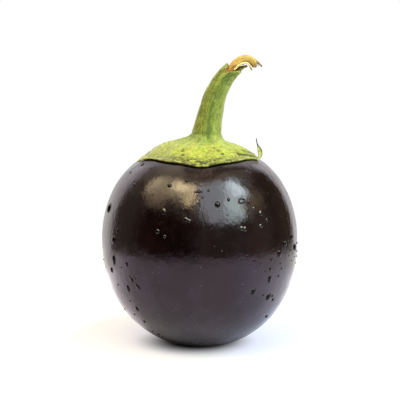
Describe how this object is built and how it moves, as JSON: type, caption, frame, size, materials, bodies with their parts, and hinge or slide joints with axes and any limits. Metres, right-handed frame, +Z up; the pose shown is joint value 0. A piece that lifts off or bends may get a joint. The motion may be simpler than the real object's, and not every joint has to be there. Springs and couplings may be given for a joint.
{
  "type": "eggplant",
  "caption": "Round dark purple eggplant standing on its flattened end, with a pointed green calyx, a bent green stalk and a dried torn strip at the stalk's tip.",
  "frame": {"origin": "middle of the flat spot at the blossom end, on which the fruit rests", "axes": "+Z up along the fruit's axis, +X towards the side that the stalk bends to, -Y the front"},
  "size_m": [0.1, 0.1, 0.1476],
  "materials": {
    "skin": "glossy waxy skin, almost black purple",
    "calyx": "matte yellow-green leafy cap",
    "stalk": "matte green, finely ridged and downy",
    "dried_fibre": "matte dried ochre fibre"
  },
  "bodies": {
    "root": {"fruit": "skin", "calyx": "calyx", "stalk": "stalk", "torn_end": "dried_fibre"}
  },
  "joints": []
}
